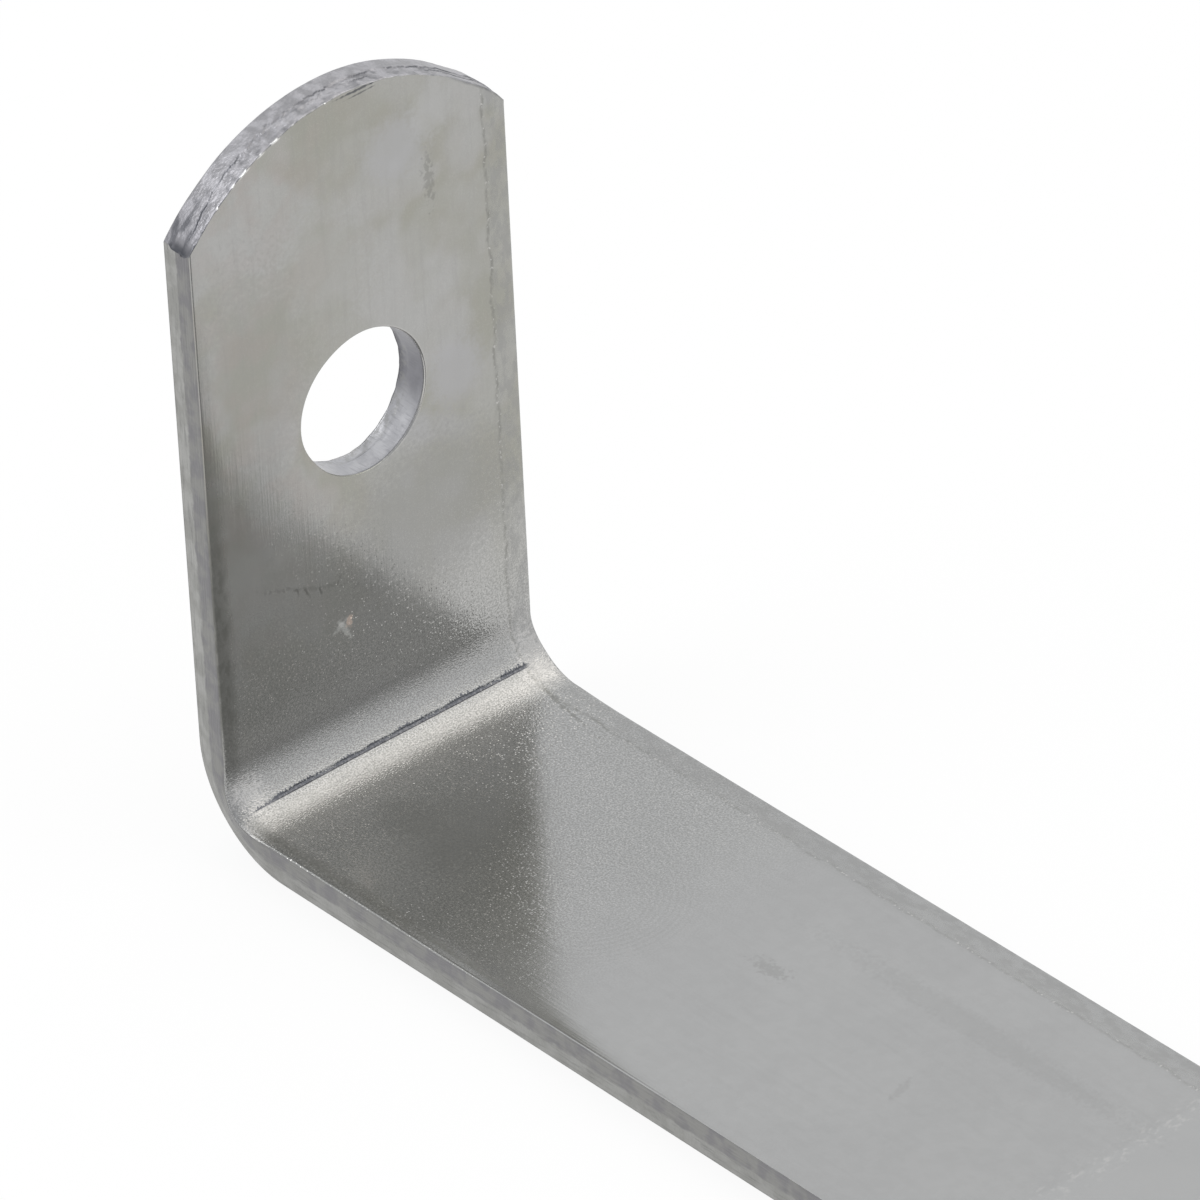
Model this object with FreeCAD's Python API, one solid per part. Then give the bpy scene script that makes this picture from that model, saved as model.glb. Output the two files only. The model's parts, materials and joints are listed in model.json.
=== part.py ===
import FreeCAD, Part
import math
import os

# Frame cramp: one length of slit stainless strip, cropped to a curved tip, punched once
# and folded through a right angle. The long leg lies in a mortar bed, and the upstand is
# screwed to the back of a door or window frame.
#
# Millimetres, +Z up. The origin is the centre of the long leg's underside. The long leg
# runs along X, the upstand's back faces -X, and the part is the same on both sides of Y = 0.

# Overall sizes
STRIP_WIDTH = 25.0
STRIP_THICKNESS = 2.5
LEG_LENGTH = 150.0        # from the upstand's back to the square-cut end
UPSTAND_HEIGHT = 49.5     # from the underside to the crown of the tip
TIP_RISE = 6.1            # crown of the tip above its two shoulders

# Fold: the metal thins there, so the two radii don't share a centre
BEND_INNER_RADIUS = 3.7
BEND_OUTER_RADIUS = 7.4

# Fixing hole, punched from the inside face
HOLE_DIAMETER = 10.0
HOLE_HEIGHT = 27.3        # centre of the hole above the underside
HOLE_LIP = 0.2            # rounding that the punch leaves at the rim

# Slit edges of the strip: the knives draw the inside face down, cut a straight band
# beside it, and break the rest away at a slant towards the outside face
DRAW_DOWN_WIDTH = 1.7
DRAW_DOWN_DEPTH = 0.18
BREAK_HEIGHT = 1.2
BREAK_SET_BACK = 0.1

# Cropped tip: the tool enters at the outside face and breaks through the inside one
TIP_ROUNDING = 0.25
TIP_BREAK_HEIGHT = 1.1
TIP_BREAK_SET_BACK = 0.12

# Squeezed metal swells sideways at the inside of the fold
SWELL_HEIGHT = 0.3
SWELL_REACH = 2.6

# Mark that the nose of the folding punch leaves across the inside of the fold
MARK_ANGLE = 51.0         # degrees round the fold, from the upstand's end of it
MARK_RADIUS = 0.35
MARK_DEPTH = 0.12
MARK_MARGIN = 1.6         # from each edge of the strip to the mark's faded end
MARK_FADE = 2.0           # length over which each end of the mark fades out

# How far a cutting shape runs past the metal
CLEAR = 1.0

BACK_X = -LEG_LENGTH / 2
END_X = LEG_LENGTH / 2
HALF_WIDTH = STRIP_WIDTH / 2
HALF_TURN = math.radians(45)

ALONG_X = FreeCAD.Vector(1, 0, 0)
ALONG_Y = FreeCAD.Vector(0, 1, 0)
ALONG_Z = FreeCAD.Vector(0, 0, 1)


def point(x, y, z=0.0):
    return FreeCAD.Vector(x, y, z)


def face_of(*edges):
    """A flat face inside a closed run of edges."""
    return Part.Face(Part.Wire(list(edges)))


def polygon_face(*points):
    """A flat face with straight sides."""
    return Part.Face(Part.makePolygon(list(points) + [points[0]]))


def side_view():
    """The L seen from the side: straight legs joined by the two arcs of the fold."""
    inner = STRIP_THICKNESS
    inner_centre = point(BACK_X + inner + BEND_INNER_RADIUS, 0, inner + BEND_INNER_RADIUS)
    outer_centre = point(BACK_X + BEND_OUTER_RADIUS, 0, BEND_OUTER_RADIUS)
    towards_corner = point(-math.cos(HALF_TURN), 0, -math.sin(HALF_TURN))

    outer_up = point(BACK_X, 0, BEND_OUTER_RADIUS)
    outer_along = point(BACK_X + BEND_OUTER_RADIUS, 0, 0)
    inner_up = point(BACK_X + inner, 0, inner + BEND_INNER_RADIUS)
    inner_along = point(BACK_X + inner + BEND_INNER_RADIUS, 0, inner)
    outer_middle = outer_centre + towards_corner * BEND_OUTER_RADIUS
    inner_middle = inner_centre + towards_corner * BEND_INNER_RADIUS

    top_outside = point(BACK_X, 0, UPSTAND_HEIGHT)
    top_inside = point(BACK_X + inner, 0, UPSTAND_HEIGHT)
    end_below = point(END_X, 0, 0)
    end_above = point(END_X, 0, inner)
    return face_of(
        Part.makeLine(top_outside, outer_up),
        Part.Arc(outer_up, outer_middle, outer_along).toShape(),
        Part.makeLine(outer_along, end_below),
        Part.makeLine(end_below, end_above),
        Part.makeLine(end_above, inner_along),
        Part.Arc(inner_along, inner_middle, inner_up).toShape(),
        Part.makeLine(inner_up, top_inside),
        Part.makeLine(top_inside, top_outside),
    )


def plate(half_width):
    """The side view carried across the width."""
    face = side_view()
    face.translate(point(0, -half_width))
    return face.extrude(ALONG_Y * (2 * half_width))


def carry_along_strip(section, depth, radius):
    """A section drawn across the upstand (in X and Y), carried down it, round the fold and
    along the leg. depth is how far the guiding face lies from the outside face, and radius
    is that face's radius in the fold."""
    bend_height = depth + radius
    axis_point = point(BACK_X + bend_height, 0, bend_height)
    start = section.copy()
    start.translate(point(0, 0, bend_height))
    upstand = start.extrude(ALONG_Z * (UPSTAND_HEIGHT - bend_height + CLEAR))
    fold = start.revolve(axis_point, -ALONG_Y, 90)
    turned = start.copy()
    turned.rotate(axis_point, -ALONG_Y, 90)
    leg = turned.extrude(ALONG_X * (LEG_LENGTH - bend_height + CLEAR))
    return upstand.fuse([fold, leg])


def draw_down_cutter(side):
    """What the knives drew down along one edge of the inside face: the space above an arc
    that leaves the face smoothly. side is 1 or -1 for the two edges."""
    face_x = BACK_X + STRIP_THICKNESS
    arc_radius = (DRAW_DOWN_WIDTH**2 + DRAW_DOWN_DEPTH**2) / (2 * DRAW_DOWN_DEPTH)

    def arc_point(run):
        drop = arc_radius - math.sqrt(arc_radius**2 - run**2)
        return point(face_x - drop, side * (HALF_WIDTH - DRAW_DOWN_WIDTH + run))

    run = DRAW_DOWN_WIDTH + CLEAR
    start = arc_point(0)
    finish = arc_point(run)
    above_finish = point(face_x + CLEAR, finish.y)
    above_start = point(face_x + CLEAR, start.y)
    section = face_of(
        Part.Arc(start, arc_point(run / 2), finish).toShape(),
        Part.makeLine(finish, above_finish),
        Part.makeLine(above_finish, above_start),
        Part.makeLine(above_start, start),
    )
    return carry_along_strip(section, STRIP_THICKNESS, BEND_INNER_RADIUS)


def break_cutter(side):
    """The slanted part of one slit edge, where the metal broke instead of being cut."""
    set_back_outside = BREAK_SET_BACK * (1 + CLEAR / BREAK_HEIGHT)
    section = polygon_face(
        point(BACK_X + BREAK_HEIGHT, side * HALF_WIDTH),
        point(BACK_X - CLEAR, side * (HALF_WIDTH - set_back_outside)),
        point(BACK_X - CLEAR, side * (HALF_WIDTH + CLEAR)),
        point(BACK_X + BREAK_HEIGHT, side * (HALF_WIDTH + CLEAR)),
    )
    return carry_along_strip(section, 0.0, BEND_OUTER_RADIUS)


def swell(side):
    """A shallow cap of a ball on one edge, centred where the fold is tightest."""
    ball_radius = (SWELL_REACH**2 + SWELL_HEIGHT**2) / (2 * SWELL_HEIGHT)
    corner = STRIP_THICKNESS + BEND_INNER_RADIUS * (1 - math.cos(HALF_TURN))
    centre = point(BACK_X + corner, side * (HALF_WIDTH + SWELL_HEIGHT - ball_radius), corner)
    ball = Part.makeSphere(ball_radius, centre)
    return ball.common(plate(HALF_WIDTH + SWELL_HEIGHT + CLEAR))


def tip_cutter():
    """All that the cropping tool takes off above the tip's arc. The kept outline is a
    round slug: rounded at the outside face, straight, then broken away to the inside."""
    arc_radius = (HALF_WIDTH**2 + TIP_RISE**2) / (2 * TIP_RISE)
    arc_height = UPSTAND_HEIGHT - arc_radius
    straight_x = BACK_X + TIP_ROUNDING
    inside_x = BACK_X + STRIP_THICKNESS
    break_x = inside_x - TIP_BREAK_HEIGHT
    set_back = TIP_BREAK_SET_BACK * (1 + CLEAR / TIP_BREAK_HEIGHT)
    rounding = TIP_ROUNDING * math.cos(HALF_TURN)

    def at(x, radius):
        return point(x, 0, arc_height + radius)

    outline = face_of(
        Part.makeLine(at(BACK_X - CLEAR, 0), at(BACK_X - CLEAR, arc_radius - TIP_ROUNDING)),
        Part.makeLine(
            at(BACK_X - CLEAR, arc_radius - TIP_ROUNDING),
            at(BACK_X, arc_radius - TIP_ROUNDING),
        ),
        Part.Arc(
            at(BACK_X, arc_radius - TIP_ROUNDING),
            at(straight_x - rounding, arc_radius - TIP_ROUNDING + rounding),
            at(straight_x, arc_radius),
        ).toShape(),
        Part.makeLine(at(straight_x, arc_radius), at(break_x, arc_radius)),
        Part.makeLine(at(break_x, arc_radius), at(inside_x + CLEAR, arc_radius - set_back)),
        Part.makeLine(at(inside_x + CLEAR, arc_radius - set_back), at(inside_x + CLEAR, 0)),
        Part.makeLine(at(inside_x + CLEAR, 0), at(BACK_X - CLEAR, 0)),
    )
    slug = outline.revolve(point(BACK_X, 0, arc_height), ALONG_X, 360)
    block = Part.makeBox(
        STRIP_THICKNESS + CLEAR,
        STRIP_WIDTH + CLEAR,
        arc_radius + CLEAR,
        point(BACK_X - CLEAR / 2, -(STRIP_WIDTH + CLEAR) / 2, arc_height),
    )
    return block.cut(slug)


def hole_cutter():
    """The fixing hole: a straight bore that flares in a small round at the inside face."""
    bore_radius = HOLE_DIAMETER / 2
    inside_x = BACK_X + STRIP_THICKNESS
    lip_radius = bore_radius + HOLE_LIP
    rounding = HOLE_LIP * math.cos(HALF_TURN)

    def at(x, radius):
        return point(x, radius, HOLE_HEIGHT)

    outline = face_of(
        Part.makeLine(at(BACK_X - CLEAR, 0), at(BACK_X - CLEAR, bore_radius)),
        Part.makeLine(at(BACK_X - CLEAR, bore_radius), at(inside_x - HOLE_LIP, bore_radius)),
        Part.Arc(
            at(inside_x - HOLE_LIP, bore_radius),
            at(inside_x - HOLE_LIP + rounding, lip_radius - rounding),
            at(inside_x, lip_radius),
        ).toShape(),
        Part.makeLine(at(inside_x, lip_radius), at(inside_x + CLEAR, lip_radius)),
        Part.makeLine(at(inside_x + CLEAR, lip_radius), at(inside_x + CLEAR, 0)),
        Part.makeLine(at(inside_x + CLEAR, 0), at(BACK_X - CLEAR, 0)),
    )
    return outline.revolve(point(BACK_X, 0, HOLE_HEIGHT), ALONG_X, 360)


def mark_cutter():
    """The punch's mark: a thin round bar laid across the fold, pointed at both ends."""
    angle = math.radians(MARK_ANGLE)
    from_axis = BEND_INNER_RADIUS + MARK_DEPTH - MARK_RADIUS
    bend_height = STRIP_THICKNESS + BEND_INNER_RADIUS
    bar_x = BACK_X + bend_height - from_axis * math.cos(angle)
    bar_z = bend_height - from_axis * math.sin(angle)
    half_length = HALF_WIDTH - MARK_MARGIN
    outline = polygon_face(
        point(bar_x, -half_length, bar_z),
        point(bar_x + MARK_RADIUS, -half_length + MARK_FADE, bar_z),
        point(bar_x + MARK_RADIUS, half_length - MARK_FADE, bar_z),
        point(bar_x, half_length, bar_z),
    )
    return outline.revolve(point(bar_x, 0, bar_z), ALONG_Y, 360)


def frame_cramp():
    """The folded strip as one solid."""
    strip = plate(HALF_WIDTH)
    strip = strip.cut([break_cutter(side) for side in (1, -1)])
    strip = strip.fuse([swell(side) for side in (1, -1)])
    strip = strip.cut([draw_down_cutter(side) for side in (1, -1)])
    strip = strip.cut([tip_cutter(), hole_cutter(), mark_cutter()])
    return strip.removeSplitter()


def as_one_solid(shape):
    """The only solid in a shape, or an error that says how many there are."""
    if len(shape.Solids) != 1 or not shape.isValid():
        raise ValueError("the strip came out as %d solids" % len(shape.Solids))
    return shape.Solids[0]


os.makedirs("parts", exist_ok=True)
cramp = as_one_solid(frame_cramp())
cramp.exportStep("parts/frame_cramp.step")
box = cramp.optimalBoundingBox()
print("size %.2f x %.2f x %.2f mm" % (box.XLength, box.YLength, box.ZLength))
print("volume %.0f mm3, %d faces" % (cramp.Volume, len(cramp.Faces)))
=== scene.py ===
# %% [markdown]
# # A stainless steel frame cramp
# A frame cramp ties a door or window frame to the brickwork round it. It is one length of
# steel strip: cropped to a curved tip, punched once, and folded into an L. This lesson dresses
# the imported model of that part. The model has the true sizes. What it lacks is what a press
# and a slitting line leave on real metal: torn edges, a burr, a punch mark and rolled skin.

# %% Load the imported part
import json
import math

import bpy
import numpy as np
from mathutils import Matrix, Vector


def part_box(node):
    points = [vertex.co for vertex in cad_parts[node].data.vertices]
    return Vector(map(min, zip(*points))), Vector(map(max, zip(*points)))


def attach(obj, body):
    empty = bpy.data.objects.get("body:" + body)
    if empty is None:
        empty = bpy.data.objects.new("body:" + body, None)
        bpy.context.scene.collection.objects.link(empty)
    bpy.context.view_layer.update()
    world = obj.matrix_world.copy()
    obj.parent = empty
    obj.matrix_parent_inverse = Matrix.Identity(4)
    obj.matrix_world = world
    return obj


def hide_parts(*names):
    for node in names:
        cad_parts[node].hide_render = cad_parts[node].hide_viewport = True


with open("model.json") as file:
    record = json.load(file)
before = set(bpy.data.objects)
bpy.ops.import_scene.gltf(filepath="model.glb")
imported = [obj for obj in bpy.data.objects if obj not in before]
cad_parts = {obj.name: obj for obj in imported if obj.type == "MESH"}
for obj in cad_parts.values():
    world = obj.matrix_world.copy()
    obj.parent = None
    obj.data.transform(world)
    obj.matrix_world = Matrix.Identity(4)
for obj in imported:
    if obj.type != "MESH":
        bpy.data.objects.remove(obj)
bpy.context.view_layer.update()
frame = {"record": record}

# %% [markdown]
# ## Sizes
# The script thinks in millimetres, as the press shop does, and turns to metres only when it
# writes a mesh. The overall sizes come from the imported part, and the hole from its mount. The
# small sizes are those that the part's drawing gives for its section, its fold and its tip.

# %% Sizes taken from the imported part
MM = 0.001
low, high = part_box("frame_cramp")
BACK_X = low[0] / MM
END_X = high[0] / MM
UPSTAND_HEIGHT = high[2] / MM
mounts = {mount["name"]: mount for mount in frame["record"]["mounts"]}
HOLE_Z = mounts["fixing_hole"]["pos_m"][2] / MM
HOLE_RADIUS = mounts["fixing_hole"]["dims"]["r_mm"]

# %% Sizes of the strip, its fold and its tip
WIDTH = 25.0
HALF = WIDTH / 2
THICKNESS = 2.5
INNER_RADIUS = 3.7
OUTER_RADIUS = 7.4
TIP_RISE = 6.1
print("strip", WIDTH, "x", THICKNESS, "mm, upstand", round(UPSTAND_HEIGHT, 2), "mm high")

# %% [markdown]
# ## The camera
# The photograph is taken with a long lens from above the open side of the L. Its outlines
# give the camera's place: the two straight edges of each leg, the tip's arc and the hole all
# have to fall where they do in the picture. A camera could be aimed at an empty object, but
# a matrix built from three angles is shorter and can't drift.

# %% Camera
AZIMUTH = 50.164
ELEVATION = 33.823
ROLL = -2.762
LENS = 335.33
DISTANCE = 668.58
AIM = (BACK_X + 24.10, 0.0, 23.18)
SENSOR_WIDTH = 36.0
NEAREST = 0.01                     # what is nearer than this, in metres, isn't seen


def camera_matrix(azimuth, elevation, roll, aim, distance):
    """Where a camera stands that looks at aim. Azimuth 0 looks along +Y."""
    azimuth, elevation, roll = (math.radians(angle) for angle in (azimuth, elevation, roll))
    forward = Vector((
        -math.sin(azimuth) * math.cos(elevation),
        math.cos(azimuth) * math.cos(elevation),
        -math.sin(elevation),
    ))
    level = Vector((math.cos(azimuth), math.sin(azimuth), 0.0))
    upright = level.cross(forward)
    right = level * math.cos(roll) + upright * math.sin(roll)
    up = right.cross(forward)
    turn = Matrix((right, up, -forward)).transposed().to_4x4()
    place = Vector(aim) - forward * distance
    return Matrix.Translation(place * MM) @ turn


scene = bpy.context.scene
camera_data = bpy.data.cameras.new("camera")
camera_data.lens = LENS
camera_data.sensor_width = SENSOR_WIDTH
camera_data.clip_start = NEAREST
camera = bpy.data.objects.new("camera", camera_data)
camera.matrix_world = camera_matrix(AZIMUTH, ELEVATION, ROLL, AIM, DISTANCE)
scene.collection.objects.link(camera)
scene.camera = camera
print("camera at", [round(value, 4) for value in camera.matrix_world.translation])

# %% [markdown]
# ## Uneven things
# Torn and rolled metal is never even. Random numbers drawn for each vertex would look like
# sand, so the script uses value noise: random heights on a square lattice, blended smoothly
# between the lattice points. It works on whole arrays, and the same place always gives the
# same height.


# %% Value noise
def lattice_value(column, row, seed):
    """A fixed pseudo-random number from -1 to 1 for each lattice point: the fraction left
    of a large multiple of the sine of a mix of column, row and seed."""
    mixed = np.sin(column * 127.1 + row * 311.7 + seed * 74.7) * 43758.5453
    return 2.0 * (mixed - np.floor(mixed)) - 1.0


def noise(x, y, seed):
    """Value noise at (x, y): the four lattice values around each point, blended with the
    smooth weight 3t^2 - 2t^3 in both directions."""
    x, y = np.broadcast_arrays(np.asarray(x, float), np.asarray(y, float))
    column, row = np.floor(x), np.floor(y)
    across, along = x - column, y - row
    across = across * across * (3 - 2 * across)
    along = along * along * (3 - 2 * along)
    near = lattice_value(column, row, seed) * (1 - across)
    near = near + lattice_value(column + 1, row, seed) * across
    far = lattice_value(column, row + 1, seed) * (1 - across)
    far = far + lattice_value(column + 1, row + 1, seed) * across
    return near * (1 - along) + far * along


def smooth_step(value, start, finish):
    """0 before start, 1 after finish, and a smooth rise between them."""
    share = np.clip((value - start) / (finish - start), 0.0, 1.0)
    return share * share * (3 - 2 * share)


print("noise at three places", np.round(noise([0.2, 1.4, 7.7], [0.5, 0.5, 0.5], 1), 3))

# %% [markdown]
# ## The strip as a function
# Every point of the cramp has an address on the flat strip: how far along it lies, how far
# across, and how deep in the thickness. The fold is then a formula that turns an address
# into a place. The whole surface could be modelled in space instead, but with addresses a
# groove, a torn edge or a scratch is written once, in flat coordinates, and follows the bend.
#
# Along the strip, s is 0 at the middle of the fold, positive up the upstand and negative
# down the long leg. Across it, y runs from -12.5 to 12.5. Through it, n is 0 at the outside
# face and 1 at the inside face.

# %% Landmarks along the strip
FOLD_HALF = 4.4                    # half the fold's length along the strip
EVEN_FROM = 12.0                   # from here on, both faces are at the same distance
FOLD_END = (THICKNESS + INNER_RADIUS + OUTER_RADIUS) / 2
TO_S = FOLD_HALF - FOLD_END        # what turns a distance from the corner into an s
TIP_S = UPSTAND_HEIGHT + TO_S
END_S = -(END_X - BACK_X + TO_S)
HOLE_S = HOLE_Z + TO_S


def fold_line(s, n):
    """The strip's line at s, for a layer n. In the fold each face is an arc, and n blends
    the two. The L is the same on both sides of its diagonal, so the sum is done for one
    leg, in distance from the outside face (off) and along the leg (out), and swapped."""
    a = np.abs(s)
    angle = np.radians(45.0) * (1 - np.clip(a / FOLD_HALF, 0, 1))
    outer_off = OUTER_RADIUS - OUTER_RADIUS * np.cos(angle)
    outer_out = OUTER_RADIUS - OUTER_RADIUS * np.sin(angle)
    inner_centre = THICKNESS + INNER_RADIUS
    inner_off = inner_centre - INNER_RADIUS * np.cos(angle)
    inner_out = inner_centre - INNER_RADIUS * np.sin(angle)
    off = outer_off + (inner_off - outer_off) * n
    out = outer_out + (inner_out - outer_out) * n

    start = OUTER_RADIUS + (inner_centre - OUTER_RADIUS) * n
    share = np.clip((a - FOLD_HALF) / (EVEN_FROM + TO_S - FOLD_HALF), 0, 1)
    straight = start + (EVEN_FROM - start) * share + np.maximum(a - EVEN_FROM - TO_S, 0)
    out = np.where(a > FOLD_HALF, straight, out)

    up_leg = s > 0
    x = BACK_X + np.where(up_leg, off, out)
    z = np.where(up_leg, out, off)
    normal_x = np.where(up_leg, np.cos(angle), np.sin(angle))
    normal_z = np.where(up_leg, np.sin(angle), np.cos(angle))
    return x, z, normal_x, normal_z


# %% [markdown]
# ## What slitting and folding do to the section
# The strip was slit from a wide coil with round knives. They draw the inside face down near
# each edge, cut a straight bright band, and tear the rest away at a slight slant. In the fold
# the inside is squeezed, so it swells sideways and its edges droop, and the outside is
# stretched, so it draws in. The nose of the punch leaves a ragged line across the inside.

# %% Sizes of the slit edges and the fold
DRAW_WIDTH = 1.7
DRAW_DEPTH = 0.14
LEFT_DRAW = 0.05                   # depth at the left edge, far from the fold
BREAK_HEIGHT = 1.2
BREAK_SET_BACK = 0.04
CORNER = 0.09
CORNER_PULL = 0.035
SWELL = 0.28
DRAW_IN = 0.03
LEFT_DROOP = 0.30
RIGHT_DROOP = 0.14
MARK_S = -0.38
MARK_DEPTH = 0.07
MARK_MARGIN = 1.5
MARK_TILT = 0.10                   # how much lower it runs at its left end


def fold_share(s, reach):
    """1 at the middle of the fold, falling smoothly to 0 at a distance of reach."""
    return 1 - smooth_step(np.abs(s), 0.0, reach)


def draw_down(s, y):
    """How deep the inside face lies under its flat height: a curve that steepens towards
    each edge, with an uneven start, plus the droop of the squeezed edge in the fold. Far
    from the fold the left edge, which the sharper knife cut, is drawn down less."""
    inset = HALF - np.abs(y)
    width = DRAW_WIDTH + 0.10 * noise(s / 3.1, np.sign(y) * 7.0, 3)
    run = np.clip(1 - inset / width, 0, 1)
    left_depth = DRAW_DEPTH + (LEFT_DRAW - DRAW_DEPTH) * smooth_step(np.abs(s), 20.0, 28.0)
    depth = np.where(y < 0, left_depth, DRAW_DEPTH)
    most = np.where(y < 0, LEFT_DROOP, RIGHT_DROOP)
    droop = most * fold_share(s, 5.0) * np.clip(1 - inset / 2.6, 0, 1) ** 2
    return depth * run**2.6 + droop


def punch_mark(s, y):
    """Depth of the ragged line, from 0 to 1: steep on the leg's side and torn on the other."""
    edge = 0.14 + 0.16 * (noise(y * 2.3, 0.5, 11) * 0.5 + 0.5) + 0.07 * noise(y * 7.0, 3.5, 12)
    edge = edge * (0.35 + 0.65 * smooth_step(np.abs(y), HALF, HALF - 5.5))
    middle = MARK_S - MARK_TILT * smooth_step(-y, 2.0, 11.0) + 0.03 * noise(y / 4.0, 1.5, 13)
    below = smooth_step(s, middle - 0.12, middle - 0.04)
    above = 1 - smooth_step(s, middle + edge, middle + edge + 0.12)
    left = smooth_step(y, -HALF + MARK_MARGIN, -HALF + MARK_MARGIN + 2.5)
    right = 1 - smooth_step(y, HALF - MARK_MARGIN - 0.4, HALF - MARK_MARGIN)
    return below * above * left * right


def side_shift(s, y, n):
    """How far a point moves sideways, towards its own edge: the torn slant of the outside
    half, the swell of the inside of the fold and the draw-in of its outside. On the right
    the swell runs out further along the leg."""
    near_edge = smooth_step(np.abs(y), HALF - 2.4, HALF)
    slant = -BREAK_SET_BACK * np.clip(1 - n * THICKNESS / BREAK_HEIGHT, 0, 1)
    reach = np.where((y > 0) & (s < 0), 8.5, 4.6)
    fold = fold_share(np.where(y > 0, s + 0.6, s), reach) * (SWELL * n**2 - DRAW_IN * (1 - n) ** 2)
    return (slant + fold) * near_edge


def corner_pull(y, n):
    """How far a point is pulled in because it lies at a long corner of the strip."""
    beside = np.clip(1 - (HALF - np.abs(y)) / CORNER, 0, 1)
    under = np.clip(1 - np.minimum(n, 1 - n) * THICKNESS / CORNER, 0, 1)
    return CORNER_PULL * beside * under


def strip_point(s, y, n, lift=0.0):
    """The place of the address (s, y, n): the fold's line, lowered by the draw-down and the
    mark, moved sideways by the swell, and lifted off the face by lift."""
    wave = 0.006 * noise(s / 13.0, y / 8.0, 21) * n
    pull = corner_pull(y, n)
    pull_off = pull * np.sign(0.5 - n)
    sink = draw_down(s, y) * n + MARK_DEPTH * punch_mark(s, y) * n**3
    x, z, normal_x, normal_z = fold_line(s, n)
    off = lift - sink + pull_off + wave
    sideways = np.sign(y) * (side_shift(s, y, n) - pull)
    return np.stack([x + normal_x * off, y + sideways, z + normal_z * off], axis=-1)


print("middle of the fold, inside:", np.round(strip_point(0.0, 0.0, 1.0), 2))

# %% [markdown]
# ## Sheared ends
# The cropping tool enters at the outside face of the tip. It rounds that edge, shears a
# burnished band with fine upright lines, then the rest breaks away: a ragged ledge, a rough
# sunken part, and a burr that curls over the inside face. Only the height of the edge has to
# be worked out for each address, because the tip is a grid across and through the strip.

# %% The tip's edge
TIP_RADIUS = (HALF**2 + TIP_RISE**2) / (2 * TIP_RISE)
TIP_ROUND = 0.16
BURR = 0.11


def tip_slope(y):
    """How much longer a cut is, measured up the strip, where the arc is steep."""
    return 1 / np.sqrt(1 - (y / TIP_RADIUS) ** 2)


def crack_line(y):
    """The share n at which the burnished band ends and the break begins. It is nearer the
    inside face at the left shoulder, and jumps in small steps."""
    steps = 0.06 * noise(np.floor(y * 1.9), 0.5, 31) + 0.05 * noise(np.floor(y * 3.7), 0.5, 30)
    shoulder = 0.18 * smooth_step(-y, 7.5, 11.5)
    return 0.54 + shoulder + steps + 0.06 * noise(y * 1.7, 1.5, 32) + 0.03 * noise(y * 4.3, 2.5, 32)


def second_crack(y):
    """The share n of a second, shorter ledge inside the break."""
    return crack_line(y) + 0.16 + 0.07 * noise(y * 1.3, 2.5, 39)


def burr_share(y):
    """How strong the burr is beside each point of the tip: short flecks on the left, given
    by their place across the strip, half their length and their strength."""
    flecks = ((-10.1, 0.12, 0.5), (-8.8, 0.11, 0.7), (-8.0, 0.24, 1.0), (-6.6, 0.15, 0.5),
              (-5.5, 0.26, 0.9), (-4.0, 0.12, 0.4), (-1.5, 0.12, 0.6))
    share = 0.08 * (1 + noise(y * 2.9, 0.5, 33))
    for middle, reach, strength in flecks:
        share = np.maximum(share, strength * np.exp(-(((y - middle) / reach) ** 2)))
    return share


def corner_nick(y, n):
    """The crushed nick at the tip's left corner, from 0 to 1."""
    beside = 1 - smooth_step(y + HALF, 0.12 + 0.10 * noise(n * 5.0, 0.5, 45), 0.42)
    through = smooth_step(n, 0.22, 0.34) * (1 - smooth_step(n, 0.80, 0.97))
    return beside * through


def tip_s(y, n):
    """How far up the strip the cut edge lies: the arc, flatter at the right, less the
    rounding at the outside, the fine upright lines of the burnished band, the sunken rough
    break and the nick."""
    arc = TIP_S - TIP_RADIUS + np.sqrt(TIP_RADIUS**2 - y**2)
    arc = arc - 0.12 * np.exp(-(((y - 6.5) / 3.0) ** 2)) + 0.22 * smooth_step(y, 9.5, HALF)
    arc = arc - 0.09 * np.exp(-(((y - 9.4) / 1.2) ** 2)) - 0.07 * np.exp(-(((y + 9.8) / 1.2) ** 2))
    round_run = np.clip(1 - n * THICKNESS / TIP_ROUND, 0, 1)
    rounding = TIP_ROUND * (1 - np.sqrt(1 - round_run**2))
    crack = crack_line(y)
    broken = smooth_step(n, crack - 0.012, crack + 0.012)
    deeper = smooth_step(n, second_crack(y) - 0.015, second_crack(y) + 0.015)
    rough = 0.022 * noise(y * 2.2, n * 6.0, 35) + 0.014 * noise(y * 5.0, n * 14.0, 36)
    torn = broken * (0.05 + 0.05 * (n - 0.5) + rough)
    torn = torn + 0.03 * deeper * (noise(y / 1.7, 0.5, 40) > 0)
    lines = (1 - broken) * 0.005 * noise(y * 6.0, n * 1.2, 37)
    inner_round = 0.03 * np.clip(1 - (1 - n) * THICKNESS / CORNER, 0, 1)
    loss = rounding + np.maximum(torn, 0) + 0.012 + lines + inner_round + 0.14 * corner_nick(y, n)
    return arc - loss * tip_slope(y)


def end_s(y, n):
    """The square-cut far end: sheared from above, so it is rounded at the inside face,
    which is the top of the leg, and broken away below."""
    round_run = np.clip(1 - (1 - n) * THICKNESS / TIP_ROUND, 0, 1)
    rounding = TIP_ROUND * (1 - np.sqrt(1 - round_run**2))
    crack = 0.5 + 0.06 * noise(y / 1.9, 0.5, 46)
    broken = smooth_step(1 - n, crack - 0.03, crack + 0.03)
    rough = 0.02 * noise(y * 1.5, n * 5.0, 38)
    return END_S + rounding + np.maximum(broken * (0.05 + rough), 0)


print("crown of the tip at s =", round(float(tip_s(0.0, 0.4)), 3))

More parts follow.
